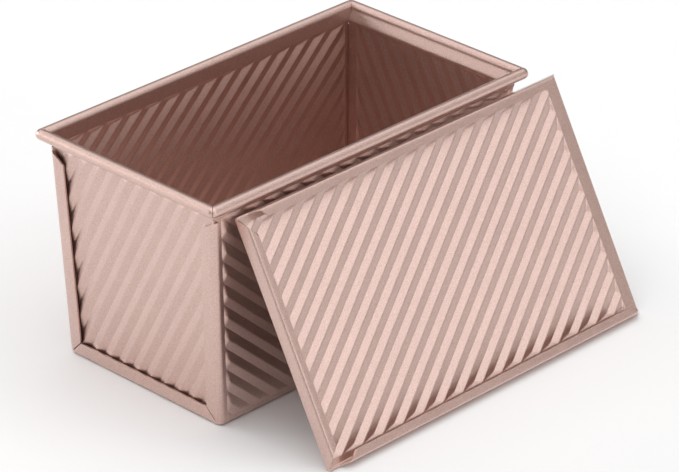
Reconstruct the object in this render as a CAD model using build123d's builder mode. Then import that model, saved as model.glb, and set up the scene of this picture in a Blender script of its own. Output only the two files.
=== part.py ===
from build123d import *
from math import ceil, cos, hypot, radians, sin, tan
import os

os.makedirs("parts", exist_ok=True)

# Corrugated pullman loaf pan with its slide-on lid, which leans on the pan's front wall.
# Millimetres and degrees. X runs along the pan, Y from front to back, Z up.
# The origin is the centre of the pan's base.

# Sheet metal, the same for every folded piece
sheet = 0.8
overrun = 2.0

# Pan body, measured on the outside of the sheet
base_length = 183.2
base_width = 100.2
pan_height = 114.0
end_flare = 5.0
side_flare = 3.4
corner_bend = 3.0
base_bend = 2.2

# Rolled rim: the sheet is curled outward round a wire
bead_diameter = 5.3
bead_opening = 50.0
bead_slit = 0.3
wire_clearance = 0.05

# Strips of the trough folded over each end plate
strip_width = 8.6
strip_cut_low = 98.6
strip_cut_high = 103.8
mitre_slit = 0.25

# End plates, folded outward at their edges and held under the strips
seam_gap = 1.4
seam_clearance = 0.05
end_cant_start = 106.2

# Pressed ribs, shared by every panel
rib_pitch = 7.9
rib_slope = 14.0
rib_end_slope = 26.0
rib_land = 0.3
groove_floor = 0.3

# Rib direction on each panel, seen from the side that the ribs stand out on
side_rib_angle = 138.0
end_rib_angle = 60.0
floor_rib_angle = 42.0
lid_rib_angle = 142.0

# Place of the rib that passes nearest to each panel's origin
side_rib_shift = 2.2
left_rib_shift = -0.2
right_rib_shift = 2.8
floor_rib_shift = 3.95
lid_rib_shift = 1.0

# Plain margins round the ribbed fields
side_rib_margin = 4.6
side_rib_low = 3.6
side_rib_top = 105.6
end_rib_margin = 8.4
end_rib_low = 8.8
floor_rib_margin = 6.0
lid_rib_margin = 3.6
lid_end_margin = 6.4

# Lid: a ribbed panel with a folded channel on three of its edges
slide_clearance = 0.25
lid_overhang = 2.2
lip_width = 4.4
lid_bend = 1.2
web_stub = 2.0
corner_relief_start = 8.0
corner_relief_end = 14.0
stop_relief = 10.0
entry_relief = 6.7

# How the lid leans on the pan
lid_lean = 61.7
lid_shift = 17.1
lean_clearance = 0.3

# Worked out from the sizes above
bead_radius = bead_diameter / 2
bead_bore = bead_radius - sheet
bead_level = pan_height - bead_radius
rib_narrowing = sheet * tan(radians(rib_slope / 2))
rib_run = (rib_pitch - rib_land - groove_floor - 2 * rib_narrowing) / 2
rib_depth = rib_run * tan(radians(rib_slope))
rib_end_narrowing = sheet * tan(radians(rib_end_slope / 2))
rib_end_run = rib_depth / tan(radians(rib_end_slope))


def half_length(level):
    """Half the pan's outside length at a height above the base"""
    return base_length / 2 + end_flare * level / pan_height


def half_width(level):
    """Half the pan's outside width at a height above the base"""
    return base_width / 2 + side_flare * level / pan_height


bead_x = half_length(bead_level) + bead_bore
bead_y = half_width(bead_level) + bead_bore
rim_half_length = bead_x + bead_radius
rim_half_width = bead_y + bead_radius
plate_inset = sheet + seam_gap
lid_length = 2 * rim_half_length + sheet + slide_clearance + lid_overhang
lid_width = 2 * (rim_half_width + slide_clearance + sheet)
lid_depth = bead_diameter + 2 * (slide_clearance + sheet)

# Outside faces of the panels: each plane's X runs along the panel and its Y up the panel
front_face = Plane((0, -base_width / 2, 0), x_dir=(1, 0, 0), z_dir=(0, -pan_height, -side_flare))
back_face = Plane((0, base_width / 2, 0), x_dir=(-1, 0, 0), z_dir=(0, pan_height, -side_flare))
left_strip_face = Plane((-base_length / 2, 0, 0), x_dir=(0, -1, 0), z_dir=(-pan_height, 0, -end_flare))
right_strip_face = Plane((base_length / 2, 0, 0), x_dir=(0, 1, 0), z_dir=(pan_height, 0, -end_flare))
plate_x = base_length / 2 - plate_inset
left_plate_face = Plane((-plate_x, 0, 0), x_dir=(0, -1, 0), z_dir=(-pan_height, 0, -end_flare))
right_plate_face = Plane((plate_x, 0, 0), x_dir=(0, 1, 0), z_dir=(pan_height, 0, -end_flare))
floor_face = Plane((0, 0, sheet), x_dir=(1, 0, 0), z_dir=(0, 0, 1))

# The leaning lid: its lower bend touches the ground and its upper edge meets the front ribs
lean_cos = cos(radians(lid_lean))
lean_sin = sin(radians(lid_lean))
lid_foot_z = -lid_bend * (lean_sin + lean_cos - 1)
lid_top_z = lid_foot_z + lid_width * lean_sin
lid_top_y = -(half_width(lid_top_z) + rib_depth + lean_clearance)
lid_foot_y = lid_top_y - lid_width * lean_cos
lid_normal = (0, -lean_sin, lean_cos)
lid_up = (0, lean_cos, lean_sin)
lid_corner = Vector(lid_shift, lid_foot_y, lid_foot_z)
lid_face = Plane(lid_corner, x_dir=(1, 0, 0), z_dir=lid_normal)
lid_middle = lid_corner + Vector(lid_up) * (lid_width / 2)
lid_back_face = Plane(lid_middle, x_dir=(1, 0, 0), z_dir=-Vector(lid_normal))


def pan_block(end_inset, side_inset, low, high, corner=0, base=0):
    """Block with the pan's flared outline, drawn in by an inset at its ends and at its sides"""
    with BuildPart() as block:
        with BuildSketch(Plane.XZ):
            x_low = half_length(low) - end_inset
            x_high = half_length(high) - end_inset
            Polygon((-x_low, low), (x_low, low), (x_high, high), (-x_high, high), align=None)
        extrude(amount=base_width, both=True)
        with BuildSketch(Plane.YZ):
            y_low = half_width(low) - side_inset
            y_high = half_width(high) - side_inset
            Polygon((-y_low, low), (y_low, low), (y_high, high), (-y_high, high), align=None)
        extrude(amount=base_length, both=True, mode=Mode.INTERSECT)
        if corner:
            upright = block.edges().filter_by(lambda edge: abs(edge.tangent_at(0).Z) > 0.5)
            fillet(upright, radius=corner)
        if base:
            fillet(block.faces().sort_by(Axis.Z)[0].edges(), radius=base)
    return block.part


def rib_block(face, field, angle, shift, behind=False):
    """Ribs that stand on a face inside a four-sided field, or the grooves behind those ribs.

    The field is half its low width, half its high width, and its low and high limits.
    """
    half_low, half_high, low, high = field
    level = -sheet if behind else 0
    tail = overrun if behind else sheet / 2
    inset = rib_end_narrowing if behind else 0
    half_crest = groove_floor / 2 if behind else groove_floor / 2 + rib_narrowing
    half_foot = half_crest + rib_run
    reach = hypot(max(half_low, half_high), max(abs(low), abs(high)))
    along = face.x_dir * cos(radians(angle)) + face.y_dir * sin(radians(angle))
    across = face.y_dir * cos(radians(angle)) - face.x_dir * sin(radians(angle))

    def corners(drawn_in):
        return (
            (drawn_in - half_low, low + drawn_in),
            (half_low - drawn_in, low + drawn_in),
            (half_high - drawn_in, high - drawn_in),
            (drawn_in - half_high, high - drawn_in),
        )

    with BuildPart() as block:
        with BuildSketch(face.offset(level)) as foot_outline:
            Polygon(*corners(inset), align=None)
        with BuildSketch(face.offset(level + rib_depth)) as crest_outline:
            Polygon(*corners(inset + rib_end_run), align=None)
        loft([foot_outline.sketch, crest_outline.sketch], ruled=True)
        extrude(foot_outline.sketch, amount=-tail)
        with BuildSketch(Plane(face.origin, x_dir=across, z_dir=along)) as rib_sections:
            with Locations((shift, 0)):
                with GridLocations(rib_pitch, rib_pitch, 2 * ceil(reach / rib_pitch) + 1, 1):
                    Polygon(
                        (-half_foot, level - tail),
                        (-half_foot, level),
                        (-half_crest, level + rib_depth),
                        (half_crest, level + rib_depth),
                        (half_foot, level),
                        (half_foot, level - tail),
                        align=None,
                    )
        extrude(rib_sections.sketch, amount=reach, both=True, mode=Mode.INTERSECT)
    return block.part


def bead_section(section_plane, centre, inward):
    """Curl of the rim round its wire, open where the sheet's edge comes back to the wall"""
    with BuildSketch(section_plane) as section:
        with Locations(centre):
            Circle(bead_radius)
            Circle(bead_bore, mode=Mode.SUBTRACT)
            reach = inward * 2 * bead_diameter
            Polygon(
                (0, 0),
                (reach, 0),
                (reach * cos(radians(bead_opening)), -abs(reach) * sin(radians(bead_opening))),
                align=None,
                mode=Mode.SUBTRACT,
            )
    return section.sketch


def bead(section, length, region):
    """Straight length of the rim, mitred where it meets the next one"""
    with BuildPart() as run:
        extrude(section, amount=length, both=True)
        with BuildSketch(Plane.XY.offset(bead_level - bead_diameter)):
            Polygon(*region, align=None)
        extrude(amount=2 * bead_diameter, mode=Mode.INTERSECT)
    return run.part


def side_region(side):
    """Ground plan of a long side's rim, cut at 45 degrees at both ends"""
    outer_x = rim_half_length + overrun - bead_slit
    outer_y = side * (rim_half_width + overrun)
    depth = bead_diameter + 2 * overrun
    inner_x = outer_x - depth
    inner_y = outer_y - side * depth
    return (-outer_x, outer_y), (outer_x, outer_y), (inner_x, inner_y), (-inner_x, inner_y)


def end_region(side):
    """Ground plan of an end's rim, cut at 45 degrees at both ends"""
    outer_x = side * (rim_half_length + overrun)
    outer_y = rim_half_width + overrun - bead_slit
    depth = bead_diameter + 2 * overrun
    inner_x = outer_x - side * depth
    inner_y = outer_y - depth
    return (outer_x, -outer_y), (outer_x, outer_y), (inner_x, inner_y), (inner_x, -inner_y)


side_beads = [
    bead(bead_section(Plane.YZ, (side * bead_y, bead_level), -side), rim_half_length, side_region(side))
    for side in (-1, 1)
]
end_beads = [
    bead(bead_section(Plane.XZ, (side * bead_x, bead_level), -side), rim_half_width, end_region(side))
    for side in (-1, 1)
]

# Trough: one sheet bent into the front wall, the floor and the back wall
outer_block = pan_block(0, 0, 0, bead_level, corner_bend, base_bend)
inner_block = pan_block(sheet, sheet, sheet, pan_height, corner_bend - sheet, base_bend - sheet)
side_field = (
    half_length(side_rib_low) - side_rib_margin,
    half_length(side_rib_top) - side_rib_margin,
    side_rib_low,
    side_rib_top,
)
floor_half = base_length / 2 - strip_width
floor_reach = base_width / 2 - floor_rib_margin
floor_field = (floor_half, floor_half, -floor_reach, floor_reach)
trough_panels = (
    (front_face, side_field, side_rib_angle, side_rib_shift),
    (back_face, side_field, side_rib_angle, side_rib_shift),
    (floor_face, floor_field, floor_rib_angle, floor_rib_shift),
)
trough_ribs = [rib_block(*panel) for panel in trough_panels]
trough_grooves = [rib_block(*panel, behind=True) for panel in trough_panels]

with BuildPart() as trough:
    add(outer_block)
    add(inner_block, mode=Mode.SUBTRACT)
    # The folded strips are what is left round a window in each end
    for strip_face in (left_strip_face, right_strip_face):
        with BuildSketch(strip_face) as window:
            window_low = half_width(strip_width) - strip_width
            window_high = half_width(strip_cut_low) - strip_width
            window_edge = half_width(strip_cut_high) + overrun
            Polygon(
                (-window_low, strip_width),
                (window_low, strip_width),
                (window_high, strip_cut_low),
                (window_edge, strip_cut_high + overrun),
                (window_edge, pan_height + overrun),
                (-window_edge, pan_height + overrun),
                (-window_edge, strip_cut_high + overrun),
                (-window_high, strip_cut_low),
                align=None,
            )
        extrude(amount=-corner_bend, mode=Mode.SUBTRACT)
        with BuildSketch(strip_face):
            for side in (-1, 1):
                with Locations((side * (base_width - strip_width) / 2, strip_width / 2)):
                    slit_length = 2 * (strip_width - base_bend)
                    Rectangle(slit_length, mitre_slit, rotation=-45 * side)
        extrude(amount=-sheet, mode=Mode.SUBTRACT)
    for ribs in trough_ribs:
        add(ribs)
    for grooves in trough_grooves:
        add(grooves, mode=Mode.SUBTRACT)
    for run in side_beads:
        add(run)
trough.part.label = "trough"
export_step(trough.part, "parts/trough.step")

# End plates: trays that lie behind the strips, canted outward at the top to reach the rim
plate_edge = sheet + seam_clearance
tray_bend = corner_bend - plate_edge
with BuildPart() as end_trays:
    add(pan_block(sheet, plate_edge, plate_edge, end_cant_start, tray_bend, base_bend - sheet))
    add(pan_block(plate_inset + sheet, -overrun, -overrun, pan_height), mode=Mode.SUBTRACT)
with BuildPart() as end_pockets:
    add(pan_block(-overrun, plate_edge + sheet, plate_edge + sheet, pan_height, tray_bend - sheet))
    add(pan_block(plate_inset, -overrun, -overrun, pan_height + overrun), mode=Mode.SUBTRACT)

end_field = (
    half_width(end_rib_low) - end_rib_margin,
    half_width(side_rib_top) - end_rib_margin,
    end_rib_low,
    side_rib_top,
)
end_plates = []
for side, plate_face, shift, end_bead in (
    (-1, left_plate_face, left_rib_shift, end_beads[0]),
    (1, right_plate_face, right_rib_shift, end_beads[1]),
):
    end_ribs = rib_block(plate_face, end_field, end_rib_angle, shift)
    end_grooves = rib_block(plate_face, end_field, end_rib_angle, shift, behind=True)
    with BuildPart() as end_plate:
        add(end_trays.part)
        add(end_pockets.part, mode=Mode.SUBTRACT)
        split(bisect_by=Plane.YZ, keep=Keep.TOP if side > 0 else Keep.BOTTOM)
        with BuildSketch(Plane.XZ):
            cant_x = side * (half_length(end_cant_start) - plate_inset)
            rim_x = side * half_length(bead_level)
            Polygon(
                (cant_x, end_cant_start),
                (rim_x, bead_level),
                (rim_x - side * sheet, bead_level),
                (cant_x - side * sheet, end_cant_start),
                align=None,
            )
        extrude(amount=half_width(end_cant_start) - plate_edge, both=True)
        add(end_ribs)
        add(end_grooves, mode=Mode.SUBTRACT)
        add(end_bead)
    end_plates.append(end_plate.part)

left_end_plate, right_end_plate = end_plates
left_end_plate.label = "left_end_plate"
export_step(left_end_plate, "parts/left_end_plate.step")
right_end_plate.label = "right_end_plate"
export_step(right_end_plate, "parts/right_end_plate.step")

# Wire inside the rolled rim
with BuildPart() as rim_wire:
    with BuildLine(Plane.XY.offset(bead_level)) as wire_path:
        Polyline((-bead_x, -bead_y), (bead_x, -bead_y), (bead_x, bead_y), (-bead_x, bead_y), close=True)
    with BuildSketch(Plane((0, -bead_y, bead_level), x_dir=(0, 1, 0), z_dir=(1, 0, 0))):
        Circle(bead_bore - wire_clearance)
    sweep(path=wire_path.wires()[0], transition=Transition.RIGHT)
rim_wire.part.label = "rim_wire"
export_step(rim_wire.part, "parts/rim_wire.step")

# Lid
lid_rib_half = lid_length / 2 - lid_end_margin
lid_rib_reach = lid_width / 2 - lid_rib_margin
lid_field = (lid_rib_half, lid_rib_half, -lid_rib_reach, lid_rib_reach)
lid_ribs = rib_block(lid_back_face, lid_field, lid_rib_angle, lid_rib_shift)
lid_grooves = rib_block(lid_back_face, lid_field, lid_rib_angle, lid_rib_shift, behind=True)


def lid_block(inset, bend, open_end):
    """Block with the lid's outline, drawn in by an inset except at its open end"""
    with BuildPart() as block:
        with BuildSketch(lid_face.offset(inset)):
            with Locations((inset / 2 + open_end / 2, lid_width / 2)):
                Rectangle(lid_length - inset + open_end, lid_width - 2 * inset)
        extrude(amount=lid_depth - 2 * inset)
        open_face = block.faces().sort_by(Axis.X)[-1]
        fillet(block.edges() - open_face.edges(), radius=bend)
    return block.part


lid_outer = lid_block(0, lid_bend, 0)
lid_inner = lid_block(sheet, lid_bend - sheet, overrun)
lid_side_plane = Plane(lid_corner, x_dir=(1, 0, 0), z_dir=-Vector(lid_up))
stop_corner = lid_corner - Vector(lid_length / 2, 0, 0)
stop_plane = Plane(stop_corner, x_dir=lid_up, z_dir=(1, 0, 0))

with BuildPart() as lid:
    add(lid_outer)
    add(lid_inner, mode=Mode.SUBTRACT)
    # Opening between the three lips
    with BuildSketch(lid_face.offset(lid_depth - sheet)):
        with Locations(((lip_width + overrun) / 2, lid_width / 2)):
            Rectangle(lid_length - lip_width + overrun, lid_width - 2 * lip_width)
    extrude(amount=sheet + overrun, mode=Mode.SUBTRACT)
    for edge_distance in (0, lid_width):
        # Corner reliefs at the stop end, with an S-shaped edge up to each lip
        with BuildSketch(lid_side_plane.offset(-edge_distance)):
            with BuildLine():
                start = corner_relief_start - lid_length / 2
                end = corner_relief_end - lid_length / 2
                outside = -lid_length / 2 - overrun
                bend_x = (start + end) / 2
                above = lid_depth + overrun
                Polyline((end, lid_depth), (end, above), (outside, above), (outside, web_stub), (start, web_stub))
                Bezier((start, web_stub), (bend_x, web_stub), (bend_x, lid_depth), (end, lid_depth))
            make_face()
        extrude(amount=lip_width + overrun, both=True, mode=Mode.SUBTRACT)
        # The channels slope back at the open end, where the rim goes in
        with BuildSketch(lid_side_plane.offset(-edge_distance)):
            entry = lid_length / 2
            Polygon(
                (entry, sheet),
                (entry - entry_relief, lid_depth),
                (entry - entry_relief, above),
                (entry + overrun, above),
                (entry + overrun, sheet),
                align=None,
            )
        extrude(amount=lip_width + overrun, both=True, mode=Mode.SUBTRACT)
    # The stop's ends slope down to the corners
    with BuildSketch(stop_plane):
        for edge_distance, side in ((0, 1), (lid_width, -1)):
            Polygon(
                (edge_distance - side * overrun, web_stub),
                (edge_distance, web_stub),
                (edge_distance + side * stop_relief, lid_depth),
                (edge_distance + side * stop_relief, above),
                (edge_distance - side * overrun, above),
                align=None,
            )
    extrude(amount=lip_width + overrun, both=True, mode=Mode.SUBTRACT)
    add(lid_ribs)
    add(lid_grooves, mode=Mode.SUBTRACT)
lid.part.label = "lid"
export_step(lid.part, "parts/lid.step")
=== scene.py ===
from math import cos, hypot, pi, radians, sin, tan

import bmesh
import bpy
from mathutils import Matrix, Vector


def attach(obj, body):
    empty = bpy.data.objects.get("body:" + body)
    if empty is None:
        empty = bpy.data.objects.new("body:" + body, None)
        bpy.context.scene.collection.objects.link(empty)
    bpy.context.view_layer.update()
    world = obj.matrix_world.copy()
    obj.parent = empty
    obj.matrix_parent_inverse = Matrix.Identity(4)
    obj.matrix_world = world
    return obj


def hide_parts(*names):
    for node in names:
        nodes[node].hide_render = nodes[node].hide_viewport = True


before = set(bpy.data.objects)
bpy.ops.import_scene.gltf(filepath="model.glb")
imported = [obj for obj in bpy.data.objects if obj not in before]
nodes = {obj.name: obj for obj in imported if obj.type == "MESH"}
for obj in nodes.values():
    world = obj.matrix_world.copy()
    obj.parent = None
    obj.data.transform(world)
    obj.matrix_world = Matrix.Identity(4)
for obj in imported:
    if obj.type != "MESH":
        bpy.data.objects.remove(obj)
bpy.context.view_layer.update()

MM = 0.001


# Materials

# The range that a noise texture mostly fills
NOISE_LOW, NOISE_HIGH = 0.3, 0.7

# The coating's dark and light grains, as screen colours
DARK_GRAIN, LIGHT_GRAIN = (186, 147, 134), (232, 199, 188)

# Places of a Mix node's colour sockets, whose names repeat
MIX_FACTOR, MIX_FIRST, MIX_SECOND, MIX_RESULT = 0, 6, 7, 2


def new_material(name):
    """Empty node material with its output node"""
    material = bpy.data.materials.new(name)
    material.use_nodes = True
    material.node_tree.nodes.clear()
    output = material.node_tree.nodes.new("ShaderNodeOutputMaterial")
    return material, material.node_tree, output


def add_node(tree, kind, **settings):
    """Node with its properties and the values of its unlinked inputs"""
    node = tree.nodes.new(kind)
    for key, value in settings.items():
        if key in node.inputs:
            node.inputs[key].default_value = value
        else:
            setattr(node, key, value)
    return node


def ramp(tree, source, stops):
    """Colour ramp from (position, value) stops, where a value is a grey or a colour"""
    node = tree.nodes.new("ShaderNodeValToRGB")
    elements = node.color_ramp.elements
    while len(elements) < len(stops):
        elements.new(0.5)
    for element, (position, value) in zip(elements, stops):
        colour = (value, value, value) if isinstance(value, (int, float)) else value
        element.position = position
        element.color = (*colour, 1)
    tree.links.new(source, node.inputs["Fac"])
    return node.outputs["Color"]


def noise_ramp(tree, noise, low, high):
    """Colour ramp between two values, driven by a noise texture"""
    return ramp(tree, noise.outputs["Fac"], [(NOISE_LOW, low), (NOISE_HIGH, high)])


def linear(rgb):
    """Screen colour, 0 to 255, as a linear one"""
    out = []
    for value in rgb:
        c = value / 255
        out.append(c / 12.92 if c <= 0.04045 else ((c + 0.055) / 1.055) ** 2.4)
    return tuple(out)


def coating(name):
    """Champagne non-stick coating: satin metallic paint with a fine sparkle"""
    material, tree, output = new_material(name)
    link = tree.links.new
    finish = {"Metallic": 1.0, "Coat Weight": 1.0, "Coat IOR": 1.9, "Coat Roughness": 0.3}
    shader = add_node(tree, "ShaderNodeBsdfPrincipled", **finish)
    place = add_node(tree, "ShaderNodeTexCoord")
    grain = add_node(tree, "ShaderNodeTexNoise", Scale=2500.0, Detail=2.0, Roughness=0.7)
    cloud = add_node(tree, "ShaderNodeTexNoise", Scale=60.0, Detail=4.0, Roughness=0.6)
    for texture in (grain, cloud):
        link(place.outputs["Object"], texture.inputs["Vector"])
    tone = add_node(tree, "ShaderNodeMix", data_type="RGBA", blend_type="MULTIPLY")
    tone.inputs[MIX_FACTOR].default_value = 1.0
    link(noise_ramp(tree, grain, linear(DARK_GRAIN), linear(LIGHT_GRAIN)), tone.inputs[MIX_FIRST])
    link(noise_ramp(tree, cloud, 0.95, 1.0), tone.inputs[MIX_SECOND])
    link(tone.outputs[MIX_RESULT], shader.inputs["Base Color"])
    link(noise_ramp(tree, grain, 0.34, 0.48), shader.inputs["Roughness"])
    bump = add_node(tree, "ShaderNodeBump", Strength=0.4, Distance=0.2 * MM)
    link(grain.outputs["Fac"], bump.inputs["Height"])
    link(bump.outputs["Normal"], shader.inputs["Normal"])
    link(shader.outputs["BSDF"], output.inputs["Surface"])
    return material


def drawn_wire(name):
    """Bare drawn wire, seen only in the rim's slits"""
    material, tree, output = new_material(name)
    link = tree.links.new
    shader = add_node(tree, "ShaderNodeBsdfPrincipled", Metallic=1.0)
    place = add_node(tree, "ShaderNodeTexCoord")
    grain = add_node(tree, "ShaderNodeTexNoise", Scale=900.0, Detail=2.0)
    link(place.outputs["Object"], grain.inputs["Vector"])
    link(noise_ramp(tree, grain, 0.42, 0.55), shader.inputs["Base Color"])
    link(noise_ramp(tree, grain, 0.3, 0.45), shader.inputs["Roughness"])
    link(shader.outputs["BSDF"], output.inputs["Surface"])
    return material


coated = coating("champagne_coating")
wire = drawn_wire("drawn_wire")

for name, node in nodes.items():
    node.data.materials.clear()
    node.data.materials.append(wire if name == "rim_wire" else coated)


# Sizes of the pan, in millimetres: the CAD's, but for the lower strip under each end

HEIGHT = 114
HALF_LENGTH, END_FLARE = 91.6, 5.0
HALF_WIDTH, SIDE_FLARE = 50.1, 3.4
SHEET = 0.8
STRIP, STRIP_LOW = 8.6, 7.6


def half_length(z):
    """Half the pan's outside length at a height"""
    return HALF_LENGTH + END_FLARE * z / HEIGHT


def half_width(z):
    """Half the pan's outside width at a height"""
    return HALF_WIDTH + SIDE_FLARE * z / HEIGHT


# The rolled rim's radius and the places of its centre lines
BEAD = 2.65
BEAD_Z = HEIGHT - BEAD
BEAD_X = half_length(BEAD_Z) + BEAD - SHEET
BEAD_Y = half_width(BEAD_Z) + BEAD - SHEET

# Pressed ribs: a zig-zag with a radius that reaches CREST to each side of a crest and VALLEY
# to each side of a valley, ended by ramps that are blended into it
PITCH, DEPTH = 7.9, 0.886
CREST, VALLEY = 0.45, 0.35
SLOPE = DEPTH / (PITCH / 2 - CREST / 2 - VALLEY / 2)
RAMP = tan(radians(26))
RAMP_BLEND = 0.3

# How near points are when they are made one, how near a point is that lies on a line, and how
# far off one plane the corners of a flat face may be
WELD, TOUCH, FLAT = 0.01, 1e-4, 0.002

# The width of a sheet's softened edges, and the least angle of an edge that is softened
SOFT_EDGE, SHARP_ANGLE = 0.18, radians(50)


def steps(start, end, count):
    """Evenly spaced values from start to end, both included"""
    return [start + (end - start) * k / count for k in range(count + 1)]


def soft_min(a, b, blend):
    """The lesser of two values, rounded off where they are nearly equal"""
    return min(a, b) - max(blend - abs(a - b), 0) ** 2 / (4 * blend)


def rib_height(across):
    """Height of the pressed zig-zag at a distance from a crest"""
    t = abs((across + PITCH / 2) % PITCH - PITCH / 2)
    if t < CREST:
        return DEPTH - SLOPE * t * t / (2 * CREST)
    if t < PITCH / 2 - VALLEY:
        return DEPTH - SLOPE * (t - CREST / 2)
    return SLOPE * (PITCH / 2 - t) ** 2 / (2 * VALLEY)


# Lines that a ribbed field is cut along: at distances from each crest, and in from the field's sides
SLOPE_CUTS = (1.7, 2.7)
RIB_CUTS = (0, CREST / 2, CREST, *SLOPE_CUTS, PITCH / 2 - VALLEY, (PITCH - VALLEY) / 2, PITCH / 2)
RAMP_CUTS = steps(0.3, 2.3, 5)


def field_edges(field):
    """A corner and the inward direction of each side of a field"""
    edges = []
    for start, end in zip(field, field[1:] + field[:1]):
        run = (Vector(end) - Vector(start)).normalized()
        edges.append((Vector(start), Vector((-run.y, run.x))))
    return edges


def add_modifier(made, name, kind, **settings):
    """Modifier on an object, with its settings"""
    modifier = made.modifiers.new(name, kind)
    for key, value in settings.items():
        setattr(modifier, key, value)


class Sheet:
    """A folded sheet: one side is laid out face by face, then welded and given its thickness"""

    def __init__(self):
        self.bm = bmesh.new()

    def grid(self, rows):
        """Quads over rows of points"""
        verts = [[self.bm.verts.new(p) for p in row] for row in rows]
        for low, high in zip(verts, verts[1:]):
            for i in range(len(low) - 1):
                self.bm.faces.new((low[i], low[i + 1], high[i + 1], high[i]))

    def panel(self, sides, field, angle, shift, place):
        """Flat panel with pressed ribs in a four-sided field.

        sides are the point lists of its four edges, in order, and field is the corners of the
        ribbed part. The ribs run at an angle, and shift is the distance of one of them from the
        origin. place turns a point of the panel, with its height, into a place in the scene.
        """
        bm = bmesh.new()
        inner = [bm.verts.new((u, w, 0)) for u, w in field]
        for k, side in enumerate(sides):
            outer = [bm.verts.new((u, w, 0)) for u, w in side]
            bm.faces.new(outer + [inner[(k + 1) % 4], inner[k]])
        core = bm.faces.new(inner)
        across = Vector((-sin(angle), cos(angle)))
        edges = field_edges(field)
        faces = self.cut_ribs(bm, core, field, across, shift)
        faces = self.cut_ramps(bm, faces, edges)
        for v in bm.verts:
            inside = min((v.co.xy - corner).dot(inward) for corner, inward in edges)
            rib = rib_height(v.co.xy.dot(across) - shift)
            height = soft_min(rib, max(inside, 0) * RAMP, RAMP_BLEND)
            v.co.z = max(height, 0) if inside > TOUCH else 0
        bmesh.ops.triangulate(bm, faces=[f for f in faces if f.is_valid and self.bent(f)])
        for v in bm.verts:
            v.co = place(*v.co)
        mesh = bpy.data.meshes.new("panel")
        bm.to_mesh(mesh)
        bm.free()
        self.bm.from_mesh(mesh)
        bpy.data.meshes.remove(mesh)

    def cut_ribs(self, bm, core, field, across, shift):
        """Cuts a field's face along its ribs, from one side of it to the other"""
        reach = [Vector(p).dot(across) for p in field]
        low, high = min(reach), max(reach)
        first = int((low - shift) // PITCH) - 1
        last = int((high - shift) // PITCH) + 2
        offsets = set()
        for k in range(first, last + 1):
            for step in RIB_CUTS:
                offsets.add(round(shift + k * PITCH + step, 4))
                offsets.add(round(shift + k * PITCH - step, 4))
        rest = [core]
        done = []
        for offset in sorted(offsets):
            if not low + WELD < offset < high - WELD:
                continue
            parts = self.cut(bm, rest, across * offset, across)
            rest = [f for f in parts if max(v.co.xy.dot(across) for v in f.verts) > offset + TOUCH]
            done += [f for f in parts if f not in rest]
        return done + rest

    def cut_ramps(self, bm, faces, edges):
        """Cuts a field's faces along its sides, where the ramps at the ribs' ends are"""
        for corner, inward in edges:
            for distance in RAMP_CUTS:
                point = corner + inward * distance
                level = point.dot(inward)
                whole = []
                crossed = []
                for f in faces:
                    spans = [v.co.xy.dot(inward) for v in f.verts]
                    if min(spans) < level - TOUCH and max(spans) > level + TOUCH:
                        crossed.append(f)
                    else:
                        whole.append(f)
                faces = whole + self.cut(bm, crossed, point, inward)
        return faces

    @staticmethod
    def cut(bm, faces, point, normal):
        """Cuts faces along the line through a point, and gives the faces on both sides of it"""
        # A dict keeps their order, which a set doesn't
        touched = dict.fromkeys(faces)
        for f in faces:
            touched.update(dict.fromkeys((*f.edges, *f.verts)))
        made = bmesh.ops.bisect_plane(
            bm, geom=list(touched), dist=TOUCH, plane_co=(*point, 0), plane_no=(*normal, 0)
        )
        return [g for g in made["geom"] if isinstance(g, bmesh.types.BMFace)]

    @staticmethod
    def bent(face):
        """Whether a face's corners are off one plane, or its first three are in line"""
        corners = [v.co for v in face.verts]
        if len(corners) < 4:
            return False
        normal = (corners[1] - corners[0]).cross(corners[2] - corners[0])
        if normal.length < 1e-6:
            return True
        normal.normalize()
        return any(abs((c - corners[0]).dot(normal)) > FLAT for c in corners[3:])

    def finish(self, name, body, replaced, facing, at):
        """Welds the sheet, turns its laid-out side the right way and gives it its thickness.

        facing is the way that the side faces at the point at.
        """
        bm = self.bm
        bmesh.ops.remove_doubles(bm, verts=bm.verts[:], dist=WELD)
        bmesh.ops.recalc_face_normals(bm, faces=bm.faces[:])
        bm.normal_update()
        at = Vector(at)
        near = min(bm.faces, key=lambda f: (f.calc_center_median() - at).length)
        if near.normal.dot(Vector(facing)) < 0:
            bmesh.ops.reverse_faces(bm, faces=bm.faces[:])
        bmesh.ops.scale(bm, vec=(MM, MM, MM), verts=bm.verts[:])
        for f in bm.faces:
            f.smooth = True
        mesh = bpy.data.meshes.new(name)
        bm.to_mesh(mesh)
        bm.free()
        made = bpy.data.objects.new(name, mesh)
        bpy.context.scene.collection.objects.link(made)
        add_modifier(made, "thickness", "SOLIDIFY", thickness=SHEET * MM, offset=-1)
        softened = {"limit_method": "ANGLE", "angle_limit": SHARP_ANGLE}
        add_modifier(made, "soft_edges", "BEVEL", width=SOFT_EDGE * MM, segments=2, **softened)
        add_modifier(made, "even_normals", "WEIGHTED_NORMAL", keep_sharp=False, weight=80)
        mesh.materials.append(coated)
        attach(made, body)
        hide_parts(replaced)


# Lid, which lies upside down with its upper edge on the front wall

SLIDE_GAP, OVERHANG = 0.25, 2.2
LID_BEND, LIP = 1.2, 4.4
LID_LENGTH = 2 * (BEAD_X + BEAD) + SHEET + SLIDE_GAP + OVERHANG
LID_WIDTH = 2 * (BEAD_Y + BEAD + SLIDE_GAP + SHEET)
LID_DEPTH = 2 * (BEAD + SLIDE_GAP + SHEET)
LID_MARGIN, LID_END_MARGIN = 3.6, 6.4
LID_RIB_ANGLE, LID_RIB_SHIFT = radians(38), 1.0

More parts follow.
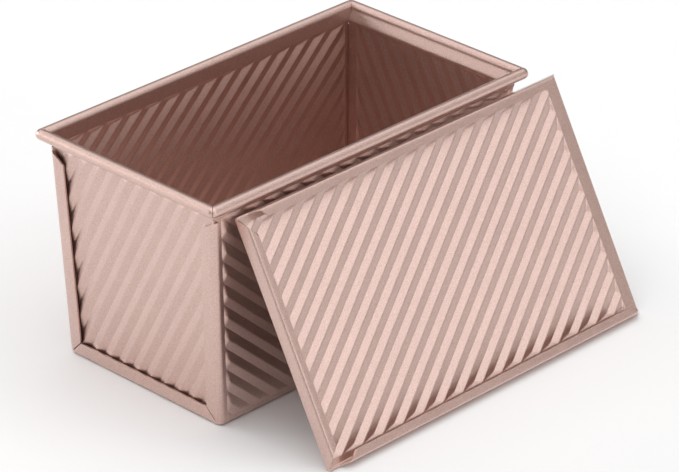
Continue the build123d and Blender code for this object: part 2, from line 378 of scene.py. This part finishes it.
# Its place: the lower bend is on the ground, and the upper edge is LEAN_GAP off the wall's ribs
LEAN, LEAN_GAP, LID_MIDDLE = radians(61.7), 0.3, 17.1
LID_UP = Vector((0, cos(LEAN), sin(LEAN)))
LID_OUT = Vector((0, -sin(LEAN), cos(LEAN)))
LID_FOOT = LID_BEND * (1 - sin(LEAN) - cos(LEAN))
LID_TOUCH = half_width(LID_FOOT + LID_WIDTH * sin(LEAN)) + DEPTH + LEAN_GAP
LID_EDGE = Vector((LID_MIDDLE, -LID_TOUCH - LID_WIDTH * cos(LEAN), LID_FOOT))

# The channels' section: lengths along the sheet, from the panel's edge, at which the bend, the web,
# the second bend and the lip end, then the start, the end and the number of faces of each of them
TURN = pi / 2 * LID_BEND
WEB_END = TURN + LID_DEPTH - 2 * LID_BEND
LIP_START = WEB_END + TURN
LIP_END = LIP_START + LIP - LID_BEND
CHANNEL_PARTS = ((0, TURN, 4), (TURN, WEB_END, 4), (WEB_END, LIP_START, 4), (LIP_START, LIP_END, 3))


def lid_place(x, v, n):
    """Place in the scene: x along the lid from its middle, v up it and n out of its inner side"""
    return LID_EDGE + Vector((x, 0, 0)) + LID_UP * v + LID_OUT * n


def channel(s):
    """Distance outward and depth at a length along the channel's section, from the panel's edge"""
    if s <= TURN:
        a = s / LID_BEND
        return LID_BEND * sin(a), LID_BEND * (1 - cos(a))
    if s <= WEB_END:
        return LID_BEND, LID_BEND + s - TURN
    if s <= LIP_START:
        a = (s - WEB_END) / LID_BEND
        return LID_BEND * cos(a), LID_DEPTH - LID_BEND + LID_BEND * sin(a)
    return LIP_START - s, LID_DEPTH


def straight(t):
    """Even rise from 0 to 1"""
    return min(max(t, 0), 1)


def smooth(t):
    """Rise from 0 to 1 as an S-curve"""
    t = straight(t)
    return t * t * (3 - 2 * t)


# How the channels are cut back at their ends: the length along the section at which a cut starts,
# then its stages, each with its start and run along the edge, the length it rises to and its form
STUB, STOP_STUB_RISE = TURN + 1.0, 0.3
STOP_SHOULDER, ENTRY_SHOULDER = WEB_END + 0.6, WEB_END + 1.0
STOP_STAGES = (
    (0, 6, STUB + STOP_STUB_RISE, smooth),
    (6, 3.8, STOP_SHOULDER, smooth),
    (8.4, 6, LIP_END, smooth),
)
CORNER_STAGES = ((LID_BEND, 4, STOP_SHOULDER, straight), (4.6, 5.8, LIP_END, smooth))
ENTRY_STUB = TURN + 0.1
ENTRY_STAGES = ((0, 6.7, ENTRY_SHOULDER, straight), (6.5, 2.9, LIP_END, smooth))


def cut_back(distance, foot, stages):
    """How far the sheet reaches along the section, at a distance along the edge from a cut's start"""
    reach = foot
    for start, run, top, form in stages:
        reach += (top - foot) * form((distance - start) / run)
        foot = top
    return reach


def long_reach(d):
    """The sheet's reach on a long edge, at a distance from the stop end"""
    return min(cut_back(d, STUB, STOP_STAGES), cut_back(LID_LENGTH - d, ENTRY_STUB, ENTRY_STAGES))


def stop_reach(d):
    """The sheet's reach on the stop end's edge, at a distance from the lower corner"""
    return cut_back(min(d, LID_WIDTH - d), STUB, CORNER_STAGES)


def build_lid():
    half = LID_LENGTH / 2
    r = LID_BEND
    # Stations along the lid from the stop end and up it, close together along the cuts' curves
    near = [r, 2.5, 4, 5.2] + steps(6, 14.4, 24)
    far = [LID_LENGTH - e for e in steps(9.6, 6.6, 8) + [5, 3.4, 1.7, 0]]
    along = near + [60, 110, 160] + far
    up = steps(r, 10.4, 26)
    up = up + [LID_WIDTH / 2] + [LID_WIDTH - d for d in reversed(up)]
    corner = steps(0, pi / 2, 5)[1:-1]
    # Points round the panel, each with its outward direction and the sheet's reach
    columns = [((d - half, r), (0, -1), long_reach(d)) for d in reversed(along)]
    columns += [((r - half, r), (-sin(a), -cos(a)), STUB) for a in corner]
    columns += [((r - half, d), (-1, 0), stop_reach(d)) for d in up]
    columns += [((r - half, LID_WIDTH - r), (-cos(a), sin(a)), STUB) for a in corner]
    columns += [((d - half, LID_WIDTH - r), (0, 1), long_reach(d)) for d in along]
    lid = Sheet()
    rows = []
    for (x, v), (ox, ov), reach in columns:
        stations = [0]
        for start, end, count in CHANNEL_PARTS:
            stations += steps(start, min(max(reach, start), end), count)[1:]
        line = []
        for s in stations:
            out, n = channel(min(s, reach))
            line.append(lid_place(x + ox * out, v + ov * out, n))
        rows.append(line)
    lid.grid(rows)
    lower_edge = [(d - half, r) for d in along]
    entry_edge = [(half, r), (half, LID_WIDTH - r)]
    upper_edge = [(d - half, LID_WIDTH - r) for d in reversed(along)]
    stop_edge = [(r - half, d) for d in reversed(up)]
    left, right = LID_MARGIN - half, half - LID_END_MARGIN
    low, high = LID_MARGIN, LID_WIDTH - LID_MARGIN
    field = [(left, low), (right, low), (right, high), (left, high)]
    lid.panel(
        [lower_edge, entry_edge, upper_edge, stop_edge],
        field,
        LID_RIB_ANGLE,
        LID_WIDTH / 2 * cos(LID_RIB_ANGLE) + LID_RIB_SHIFT,
        lambda x, v, h: lid_place(x, v, -h),
    )
    lid.finish("lid_shell", "lid", "lid", -LID_OUT, lid_place(0, LID_WIDTH / 2, 0))


build_lid()


# Pan: end plates held behind the folded trough's strips, and the rim rolled round the wire

UP = Vector((0, 0, 1))
OUTER_BEND, BASE_BEND = 3.0, 1.4
WALL_BEND = OUTER_BEND - SHEET
TROUGH_FOOT = SHEET + BASE_BEND

# End plates: their inset, flanges and corners, the heights where the flange ends and the cant begins,
# and how far the cant's bends reach, as a share of its length
PLATE_INSET, PLATE_BEND, PLATE_FLANGE, PLATE_GAP = 2.2, 1.0, 2.1, 0.05
PLATE_EDGE = SHEET + PLATE_GAP + PLATE_BEND
PLATE_CORNER, PLATE_FOOT = 0.4, 1.9
FLANGE_TOP, CANT = 105.4, 106.2
CANT_PULL = 0.4

# Strips: the height and slope of their oblique upper ends, how wide the slits at their mitres are and
# how far from the bend they open, and where a side strip has a line between its edges
CUT_LOW, CUT_SLOPE = 98.6, 0.68
MITRE_SLIT, SLIT_START = 0.3, 0.5
STRIP_MIDDLE = 5.5

# A wall's end above the strips: heights over the bend's cut, and how far in from the outside
WALL_RELIEF = ((0, OUTER_BEND), (0.8, 2.2), (1.6, 1.2))

# Ribbed fields: how far up each wall they go and their margins, then the ribs' angles and places
END_FIELD, END_MARGIN = (5.4, 105.6), 6.4
SIDE_FIELD, SIDE_MARGIN = (3.6, 105.6), 4.6
FLOOR_MARGIN = 6.0
END_RIB_ANGLE, LEFT_RIB_SHIFT, RIGHT_RIB_SHIFT = radians(60), -0.2, 2.8
SIDE_RIB_ANGLE, SIDE_RIB_SHIFT = radians(138), 2.2
FLOOR_RIB_ANGLE, FLOOR_RIB_SHIFT = radians(42), 3.95

# Rim: how far its sheet curls. Where one bead ends square against another one that runs through,
# the least that it stays short of the crossing, and how far past it the other goes, in radii
ROLL = radians(310)
BUTT_SHORT, THROUGH_PAST = 1.0, 0.985

# How the two beads meet at each corner of the rim, by the corner's sides along X and Y:
# the long bead's end, the end bead's end and the slit between them
CORNERS = {
    (-1, -1): ("mitre", "mitre", 0.3),
    (-1, 1): ("mitre", "mitre", 0.04),
    (1, 1): ("mitre", "mitre", 0.08),
    (1, -1): ("through", "butt", 0.1),
}


class Wall:
    """Cavity side of a sloping wall: u runs along it, w up it and h out of it"""

    def __init__(self, out, reach, flare):
        self.out = Vector(out)
        self.along = UP.cross(self.out)
        self.slope = hypot(HEIGHT, flare)
        self.up = (self.out * flare + UP * HEIGHT) / self.slope
        self.normal = (self.out * HEIGHT - UP * flare) / self.slope
        self.origin = self.out * reach - self.normal * SHEET

    def place(self, u, w, h=0):
        """Place in the scene of a point of the wall"""
        return self.origin + self.along * u + self.up * w + self.normal * h

    def rise(self, z):
        """Distance up the wall to a height"""
        return (z - self.origin.z) * self.slope / HEIGHT


def wall_field(half, limits, margin):
    """Corners of a wall's ribbed field, from half the wall's breadth as a function of height"""
    low, high = limits
    lower, upper = half(low) - margin, half(high) - margin
    return [(-lower, low), (lower, low), (upper, high), (-upper, high)]


def bead_end(cut, angle):
    """Where a bead ends, measured along it from the point where the two centre lines cross.

    angle is the place on its section, from pi at the wall to 0 at the outside.
    """
    d = BEAD * cos(angle)
    if cut == "butt":
        return -max(abs(d), BUTT_SHORT)
    if cut == "through":
        return BEAD + 2 * d if angle > pi / 2 else THROUGH_PAST * BEAD
    return d if d <= 0 else d / hypot(1, d / BEAD)


def bead(along, out, half, centre, low, high):
    """Rows of the curled sheet, from the wall's top over the wire; low and high are (cut, slit)"""
    rows = []
    for angle in steps(pi, pi - ROLL, 26):
        row = []
        for side, (cut, slit) in ((-1, low), (1, high)):
            end = bead_end(cut, angle) - slit / 2
            line = []
            for past in steps(-BEAD - 2, end, 8):
                # Past the crossing the bead is drawn in, so that its end is round
                drawn = (1 - (past / BEAD) ** 2) ** 0.5 if past > 0 else 1
                reach = centre + BEAD * cos(angle) * drawn
                level = BEAD_Z + BEAD * sin(angle) * drawn
                line.append(along * (side * (half + past)) + out * reach + UP * level)
            row += line[::-1] if side < 0 else line
        rows.append(row)
    return rows


def build_cant(wall, low_edge):
    """Rows of the short slope, bent at each end, from an end plate's panel out to its bead"""
    start = wall.place(0, wall.rise(CANT))
    end = wall.out * (BEAD_X - BEAD) + UP * BEAD_Z
    pull = (end - start).length * CANT_PULL
    narrow = (half_width(CANT) - SHEET - PLATE_GAP) / (BEAD_Y - BEAD)
    rows = []
    for t in steps(0, 1, 7)[:-1]:
        point = start * (1 - 3 * t * t + 2 * t ** 3) + end * (3 * t * t - 2 * t ** 3)
        point += wall.up * pull * (t - 2 * t * t + t ** 3) + UP * pull * (t ** 3 - t * t)
        rows.append([point + Vector((0, p.y * (narrow + (1 - narrow) * t), 0)) for p in low_edge])
    return rows


def build_end_plate(side):
    wall = Wall((side, 0, 0), HALF_LENGTH - PLATE_INSET, END_FLARE)
    plate = Sheet()
    ends = [(cut, slit) for _, cut, slit in (CORNERS[side, other] for other in (-1, 1))]
    roll = bead(Vector((0, 1, 0)), wall.out, BEAD_Y, BEAD_X, *ends)
    cant = build_cant(wall, roll[0])
    plate.grid(cant + roll)
    # The outward flange on the other three sides
    r = PLATE_CORNER
    edge = half_width(PLATE_FOOT + r) - PLATE_EDGE
    high_edge = half_width(FLANGE_TOP) - PLATE_EDGE
    high = wall.rise(FLANGE_TOP)
    centre = PLATE_FOOT + r
    arc = steps(0, pi / 2, 4)
    columns = [((-high_edge, high), (-1, 0))]
    columns += [((-edge + r - r * cos(a), centre - r * sin(a)), (-cos(a), -sin(a))) for a in arc]
    columns += [((edge - r + r * sin(a), centre - r * cos(a)), (sin(a), -cos(a))) for a in arc]
    columns += [((high_edge, high), (1, 0))]
    section = [(PLATE_BEND * sin(a), PLATE_BEND * (1 - cos(a))) for a in arc]
    section += [(PLATE_BEND, PLATE_FLANGE)]
    rows = []
    for (u, w), (du, dw) in columns:
        rows.append([wall.place(u + du * d, w + dw * d, h) for d, h in section])
    plate.grid(rows)
    # The ribbed panel: the left corner's arc is in its left side, and the right one's in its bottom
    points = [p for p, _ in columns]
    crest = sorted([(p.y, wall.rise(CANT)) for p in cant[0]], reverse=True)
    left_end, right_end = len(arc), 2 * len(arc)
    left = [crest[-1]] + points[:left_end + 1]
    bottom = points[left_end:right_end + 1]
    right = points[right_end:] + [crest[0]]
    field = wall_field(half_width, END_FIELD, END_MARGIN)
    shift = RIGHT_RIB_SHIFT if side > 0 else LEFT_RIB_SHIFT
    plate.panel([bottom, right, crest, left], field, END_RIB_ANGLE, shift, wall.place)
    name = "right_end_plate" if side > 0 else "left_end_plate"
    plate.finish(name + "_sheet", "pan", name, -wall.normal, wall.place(0, 50))


def plan(z, reach, angle, sx, sy):
    """Point on the rounded plan of the cavity at a height, reach mm from the corner's centre"""
    x = half_length(z) - OUTER_BEND + reach * cos(angle)
    y = half_width(z) - OUTER_BEND + reach * sin(angle)
    return Vector((sx * x, sy * y, z))


def base_bend(angle):
    """Height and reach of a point of the bend between wall and floor"""
    return TROUGH_FOOT - BASE_BEND * cos(angle), WALL_BEND - BASE_BEND * (1 - sin(angle))


def strip_point(sx, sy, inset, z):
    """Point on the inner side of a strip, at an inset from the pan's long side"""
    return sx * (half_length(z) - SHEET), sy * (half_width(z) - inset), z


def on_floor(u, w, h):
    """Place in the scene of a point of the floor's upper side, with its height"""
    return Vector((u, w, SHEET + h))


def build_trough():
    trough = Sheet()
    turn = steps(0, pi / 2, 6)
    bend = [base_bend(a) for a in turn]
    mitre = (STRIP_LOW - TROUGH_FOOT) / (STRIP - OUTER_BEND)
    for sx, sy in CORNERS:
        trough.grid([[plan(z, reach, b, sx, sy) for b in turn] for z, reach in bend])
        tops = [CUT_LOW + (STRIP - OUTER_BEND + WALL_BEND * sin(b)) * CUT_SLOPE for b in turn]
        foot_row = [plan(TROUGH_FOOT, WALL_BEND, b, sx, sy) for b in turn]
        trough.grid([foot_row, [plan(z, WALL_BEND, b, sx, sy) for z, b in zip(tops, turn)]])
        # Side strip, mitred at the bottom and cut obliquely at the top
        strip = []
        for inset in (OUTER_BEND, OUTER_BEND + SLIT_START, STRIP_MIDDLE, STRIP):
            low = TROUGH_FOOT + (inset - OUTER_BEND) * mitre
            low += MITRE_SLIT if inset > OUTER_BEND else 0
            high = CUT_LOW + (STRIP - inset) * CUT_SLOPE
            strip.append([strip_point(sx, sy, inset, z) for z in (low, high)])
        trough.grid(strip)
    for side in (-1, 1):
        trough.grid([[plan(z, reach, 0, side, sy) for sy in (-1, 1)] for z, reach in bend])
        trough.grid([[plan(z, reach, pi / 2, sx, side) for sx in (-1, 1)] for z, reach in bend])
        # Bottom strip
        strip = []
        for z in (TROUGH_FOOT, TROUGH_FOOT + SLIT_START, STRIP_LOW):
            inset = OUTER_BEND + (z - TROUGH_FOOT) / mitre
            inset += MITRE_SLIT if z > TROUGH_FOOT else 0
            strip.append([strip_point(side, sy, inset, z) for sy in (-1, 1)])
        trough.grid(strip)
        # Wall with its bead
        wall = Wall((0, side, 0), HALF_WIDTH, SIDE_FLARE)
        ends = [(cut, slit) for cut, _, slit in (CORNERS[other, side] for other in (-1, 1))]
        roll = bead(Vector((1, 0, 0)), wall.out, BEAD_X, BEAD_Y, *ends)
        trough.grid(roll)
        cut = CUT_LOW + (STRIP - SHEET) * CUT_SLOPE
        right = [(half_length(TROUGH_FOOT) - OUTER_BEND, wall.rise(TROUGH_FOOT))]
        for over, inset in WALL_RELIEF:
            right.append((half_length(cut + over) - inset, wall.rise(cut + over)))
        left = [(-u, w) for u, w in reversed(right)]
        crest = sorted([(p.dot(wall.along), wall.rise(BEAD_Z)) for p in roll[0]], reverse=True)
        sides = [[left[-1], right[0]], right + [crest[0]], crest, [crest[-1]] + left]
        field = wall_field(half_length, SIDE_FIELD, SIDE_MARGIN)
        trough.panel(sides, field, SIDE_RIB_ANGLE, SIDE_RIB_SHIFT, wall.place)
    # Floor, with its ribs standing up into the cavity
    outline = []
    for k, (sx, sy) in enumerate(((1, -1), (1, 1), (-1, 1), (-1, -1))):
        corner = [plan(*bend[0], b, sx, sy).xy[:] for b in turn]
        outline.append(corner if k % 2 else corner[::-1])
    sides = [[outline[k - 1][-1]] + outline[k] for k in range(4)]
    x, y = HALF_LENGTH - STRIP, HALF_WIDTH - FLOOR_MARGIN
    field = [(-x, -y), (x, -y), (x, y), (-x, y)]
    trough.panel(sides, field, FLOOR_RIB_ANGLE, FLOOR_RIB_SHIFT, on_floor)
    trough.finish("trough_sheet", "pan", "trough", UP, (0, 0, SHEET))


for side in (-1, 1):
    build_end_plate(side)
build_trough()


# Camera, from the photo's perspective

YAW, TILT, ROTATION = radians(45.096), radians(27.313), radians(-0.326)
CAMERA_PLACE = Vector((-1155.575, -1185.675, 898.557))
FOCAL_PIXELS, PHOTO_WIDTH = 4046.972, 679


def camera():
    forward = Vector((sin(YAW) * cos(TILT), cos(YAW) * cos(TILT), -sin(TILT)))
    right = Vector((cos(YAW), -sin(YAW), 0))
    up = right.cross(forward)
    across = right * cos(ROTATION) + up * sin(ROTATION)
    above = up * cos(ROTATION) - right * sin(ROTATION)
    data = bpy.data.cameras.new("camera")
    data.sensor_width = 36
    data.lens = FOCAL_PIXELS / PHOTO_WIDTH * data.sensor_width
    data.clip_start, data.clip_end = 0.05, 120
    made = bpy.data.objects.new("camera", data)
    turn = Matrix((across, above, -forward)).transposed().to_4x4()
    made.matrix_world = Matrix.Translation(CAMERA_PLACE * MM) @ turn
    bpy.context.scene.collection.objects.link(made)
    bpy.context.scene.camera = made


camera()


# Floor, backdrop and light

FLOOR_HALF, FLOOR_DROP = 40000, 0.2

# The white backdrop's top and the dim sky's start, as heights on a sphere of radius 1, and the sky's
# brightness
BACKDROP_TOP, SKY_START, SKY = 0.058, 0.075, 0.08

# Name, direction, spread in degrees and power of each light
SOFTBOXES = (
    ("top", (-0.05, 0, 1), 100, 2.6),
    ("key", (0.42, -0.74, 0.52), 26, 0.32),
    ("front_low", (0.08, -0.95, 0.22), 20, 0.36),
    ("left_high", (-0.8, -0.4, 0.45), 30, 0.15),
    ("back_left_low", (-0.4, 0.88, 0.14), 36, 1.4),
)


def floor():
    """Pale floor that shows white to the camera and keeps the object's shadow"""
    material, tree, output = new_material("floor")
    shader = add_node(tree, "ShaderNodeBsdfDiffuse", Color=(0.93, 0.93, 0.93, 1))
    tree.links.new(shader.outputs["BSDF"], output.inputs["Surface"])
    mesh = bpy.data.meshes.new("floor")
    half = FLOOR_HALF * MM
    corners = [(-half, -half, 0), (half, -half, 0), (half, half, 0), (-half, half, 0)]
    mesh.from_pydata(corners, [], [(0, 1, 2, 3)])
    made = bpy.data.objects.new("floor", mesh)
    made.location.z = -FLOOR_DROP * MM
    mesh.materials.append(material)
    bpy.context.scene.collection.objects.link(made)


def softbox(name, towards, spread, power):
    """Distant soft light: a round patch of sky that lights all of the floor alike"""
    data = bpy.data.lights.new(name, "SUN")
    data.angle = radians(spread)
    data.energy = power
    made = bpy.data.objects.new(name, data)
    made.rotation_euler = Vector(towards).to_track_quat("Z", "Y").to_euler()
    bpy.context.scene.collection.objects.link(made)


def surroundings():
    """White backdrop round the horizon, and a dim sky above it that leaves the light to the softboxes"""
    world = bpy.data.worlds.new("studio")
    bpy.context.scene.world = world
    world.use_nodes = True
    tree = world.node_tree
    link = tree.links.new
    tree.nodes.clear()
    output = tree.nodes.new("ShaderNodeOutputWorld")
    lit = add_node(tree, "ShaderNodeBackground", Color=(1, 1, 1, 1))
    direction = tree.nodes.new("ShaderNodeTexCoord")
    split = tree.nodes.new("ShaderNodeSeparateXYZ")
    link(direction.outputs["Generated"], split.inputs[0])
    band = ramp(tree, split.outputs["Z"], [(BACKDROP_TOP, 1.0), (SKY_START, SKY)])
    link(band, lit.inputs["Strength"])
    link(lit.outputs[0], output.inputs["Surface"])


floor()
surroundings()
for light in SOFTBOXES:
    softbox(*light)

bpy.context.scene.view_settings.view_transform = "Standard"
